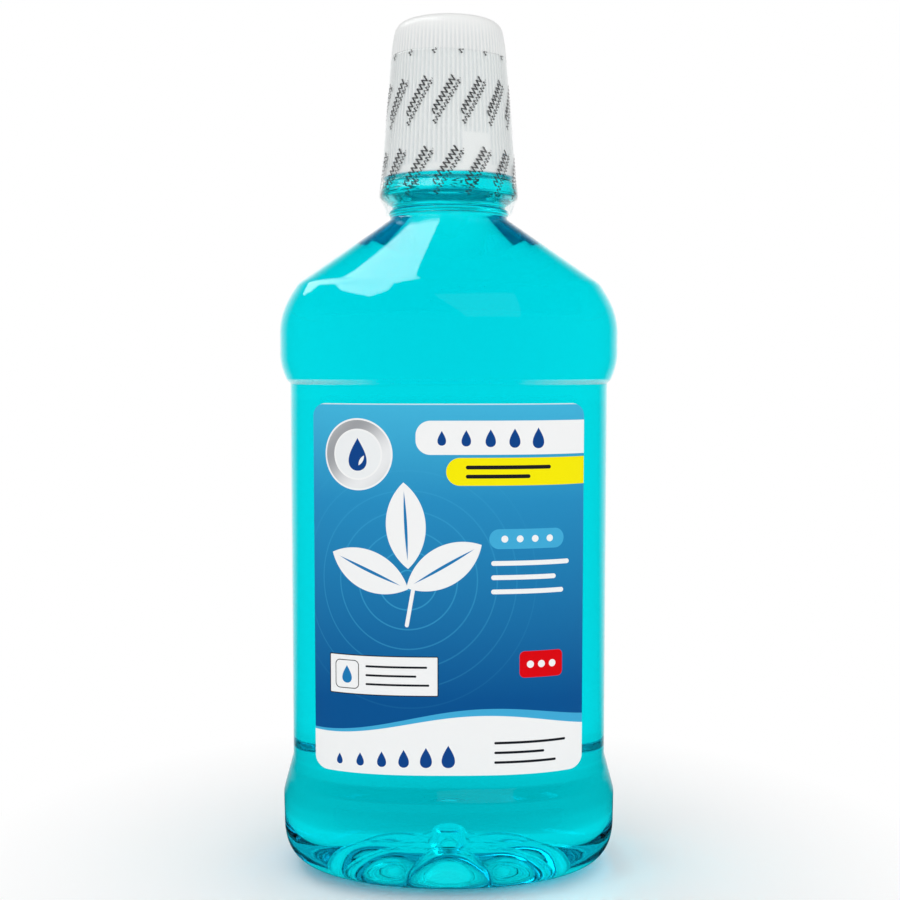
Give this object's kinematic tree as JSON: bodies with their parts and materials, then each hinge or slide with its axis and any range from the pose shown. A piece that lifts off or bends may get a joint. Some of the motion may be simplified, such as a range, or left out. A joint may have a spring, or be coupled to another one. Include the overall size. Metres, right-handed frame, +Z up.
{
  "type": "mouthwash bottle",
  "caption": "Clear oval rinse bottle with a waisted label panel, push-up base, beaded neck, ribbed squeeze-and-turn dosing cap and clear shrink neckband.",
  "frame": {"origin": "middle of the base, on the plane that the bottle stands on", "axes": "+Z up along the bottle; the front label faces -Y; +X is to the right when facing the front label"},
  "size_m": [0.0822, 0.057, 0.207],
  "materials": {
    "clear_bottle": "clear blown polyester, polished",
    "rinse": "clear teal liquid that fills the bottle, wet and smooth",
    "label_film": "printed self-adhesive film, satin gloss, blue shading to white with coloured bands and no lettering",
    "cap_plastic": "moulded white polypropylene, satin, finely ribbed",
    "seal_foam": "closed-cell foam washer, matt",
    "shrink_film": "clear shrink film, glossy, with small dark slanted marks"
  },
  "bodies": {
    "bottle": {"bottle": "clear_bottle", "mouthwash": "rinse", "front_label": "label_film", "back_label": "label_film"},
    "seal_ring": {"seal_ring": "seal_foam"},
    "cap": {"cap": "cap_plastic"},
    "neckband": {"neckband": "shrink_film"}
  },
  "joints": [
    {"name": "cap_lift", "type": "slide", "parent": "bottle", "child": "seal_ring", "axis": [0, 0, 1], "range_m": [0, 0.01605]},
    {"name": "cap_turn", "type": "hinge", "parent": "seal_ring", "child": "cap", "pos_m": [0, 0, 0.18], "axis": [0, 0, 1], "range_deg": [0, 900]},
    {"name": "neckband_off", "type": "slide", "parent": "cap", "child": "neckband", "axis": [0, 0, 1], "range_m": [0, 0.05]}
  ],
  "couplings": [
    {"joint": "cap_lift", "follows": "cap_turn", "m_per_rad": 0.0010186}
  ]
}
